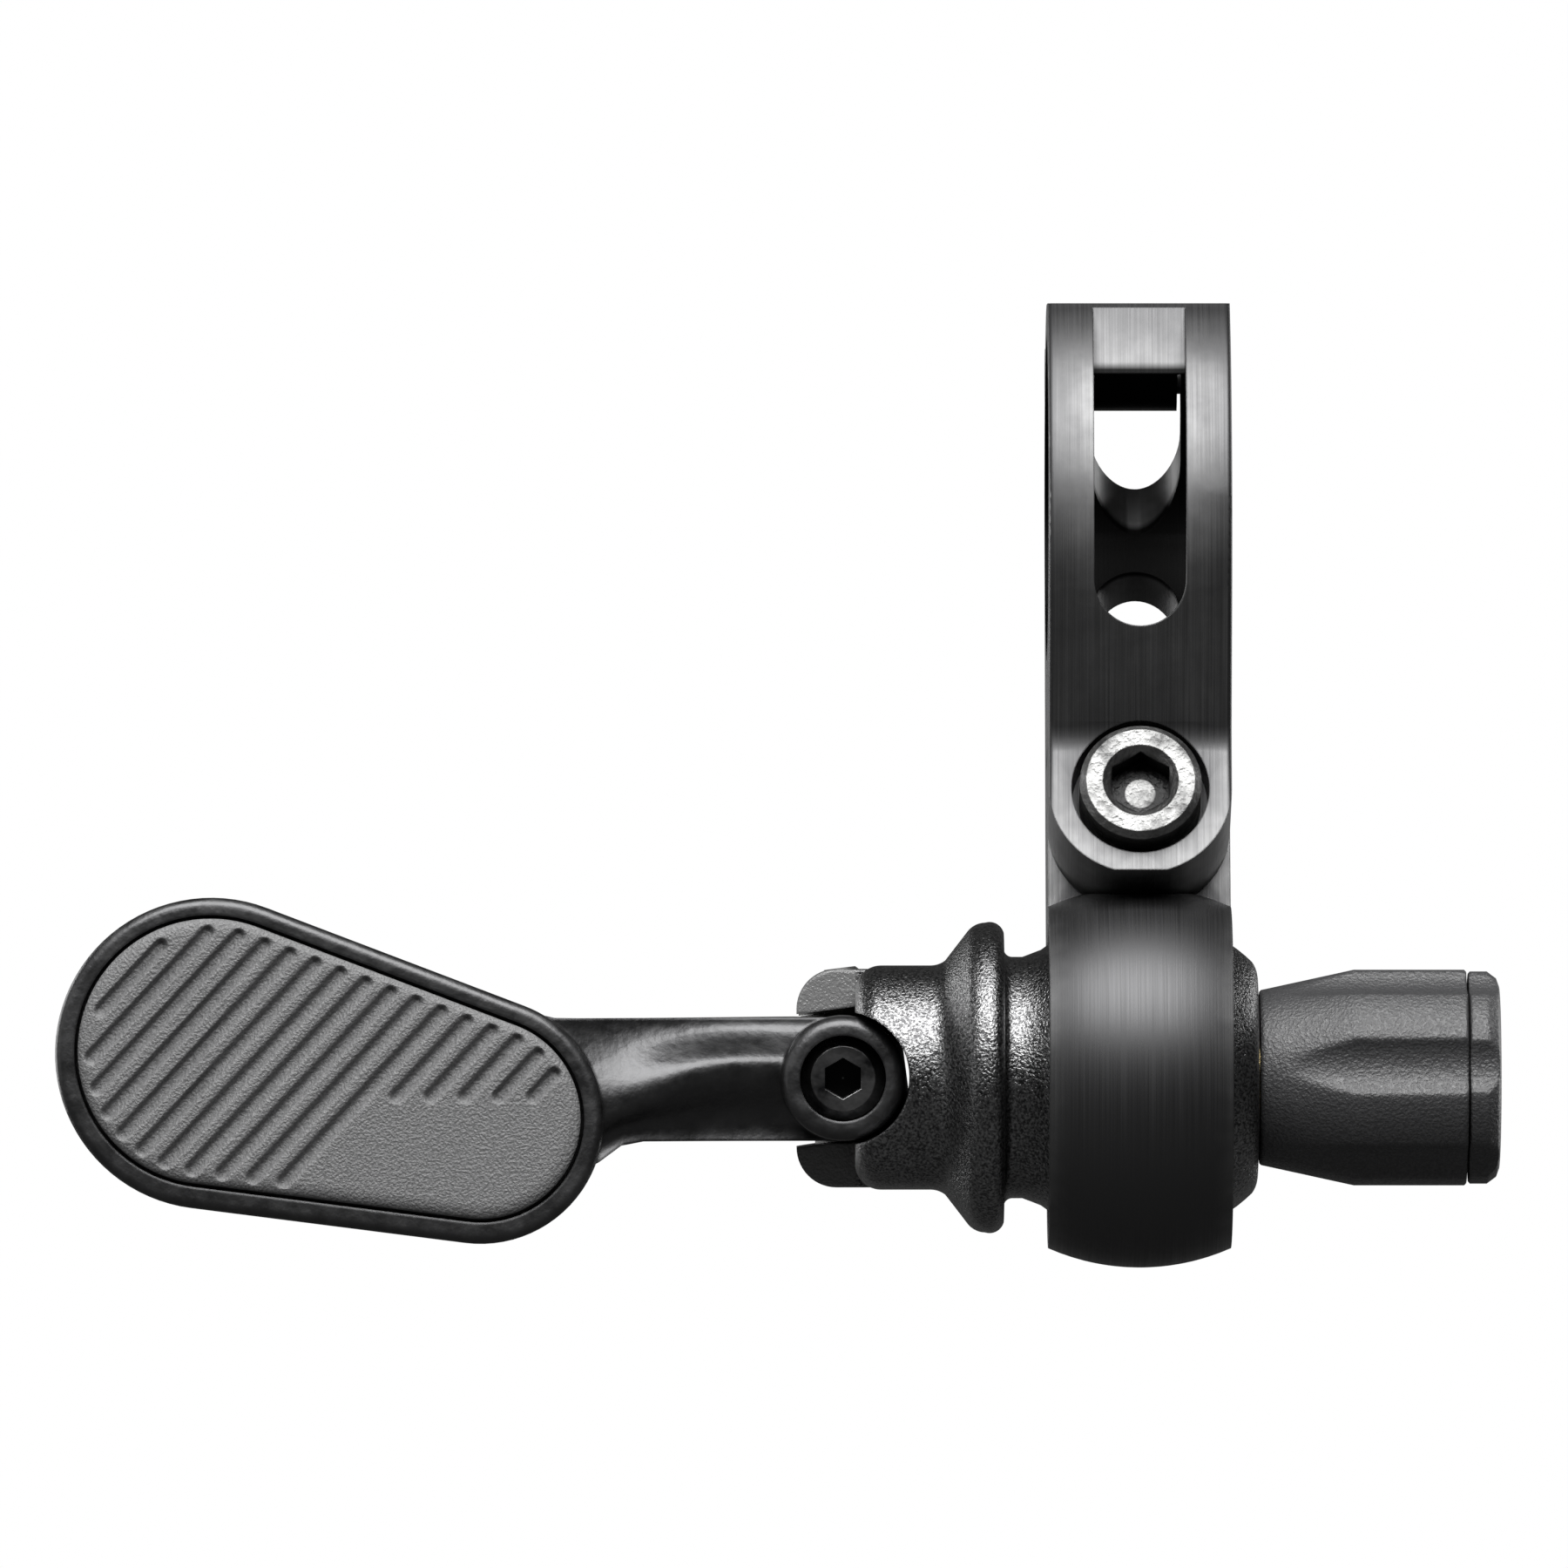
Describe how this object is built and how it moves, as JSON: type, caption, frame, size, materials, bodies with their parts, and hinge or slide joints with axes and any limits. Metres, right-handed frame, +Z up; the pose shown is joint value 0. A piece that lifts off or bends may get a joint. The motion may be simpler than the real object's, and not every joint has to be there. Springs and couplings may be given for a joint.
{
  "type": "dropper post remote lever",
  "caption": "Handlebar remote for a dropper post: hinged bar clamp with a ball joint, pivoting thumb lever with a ribbed rubber pad, cable pinch screw and barrel adjuster.",
  "frame": {"origin": "centre of the handlebar clamp bore", "axes": "+X along the handlebar, away from the thumb pad; +Y away from the rider, the way the pad is pushed; +Z up"},
  "size_m": [0.1007, 0.0349, 0.0676],
  "materials": {
    "clamp_anodised": "satin black anodised, fine turning lines",
    "bolt_steel": "bright zinc, lightly pitted",
    "pin_steel": "ground",
    "body_grained": "black coat with a sand grain",
    "washer_polymer": "matt",
    "bush_polymer": "matt",
    "lever_black": "smooth semi-gloss black",
    "screw_dark": "black oxide with a bright edge",
    "pad_rubber": "fine grain",
    "stem_brass": "turned",
    "seal_rubber": "smooth",
    "grip_plastic": "fine spark-eroded grain"
  },
  "bodies": {
    "clamp": {"clamp_front_strap": "clamp_anodised", "clamp_rear_body": "clamp_anodised", "clamp_bolt": "bolt_steel", "strap_hinge_pin": "pin_steel"},
    "ball": {"ball_body": "body_grained", "pivot_pin": "pin_steel", "upper_thrust_washer": "washer_polymer", "lower_thrust_washer": "washer_polymer"},
    "lever_arm": {"lever": "lever_black", "cable_pinch_screw": "screw_dark", "thumb_pad": "pad_rubber", "upper_pivot_bush": "bush_polymer", "lower_pivot_bush": "bush_polymer"},
    "adjuster_screw": {"adjuster_stem": "stem_brass", "adjuster_o_ring": "seal_rubber"},
    "adjuster_knob": {"adjuster_grip": "grip_plastic", "adjuster_end_ring": "grip_plastic"}
  },
  "joints": [
    {"name": "ball_swivel", "type": "hinge", "parent": "clamp", "child": "ball", "pos_m": [0, -0.008, -0.04067], "axis": [1, 0, 0], "continuous": true},
    {"name": "lever_pivot", "type": "hinge", "parent": "ball", "child": "lever_arm", "pos_m": [-0.02, 0.001, -0.04042], "axis": [0.1288, 0, -0.9917], "range_deg": [0, 45]},
    {"name": "adjuster_travel", "type": "slide", "parent": "ball", "child": "adjuster_screw", "axis": [1, 0, 0], "range_m": [0, 0.005]},
    {"name": "adjuster_turn", "type": "hinge", "parent": "adjuster_screw", "child": "adjuster_knob", "pos_m": [0, -0.008, -0.04067], "axis": [1, 0, 0], "range_deg": [0, 1800]}
  ],
  "couplings": [
    {"joint": "adjuster_turn", "follows": "adjuster_travel", "rad_per_m": 6283.2}
  ]
}
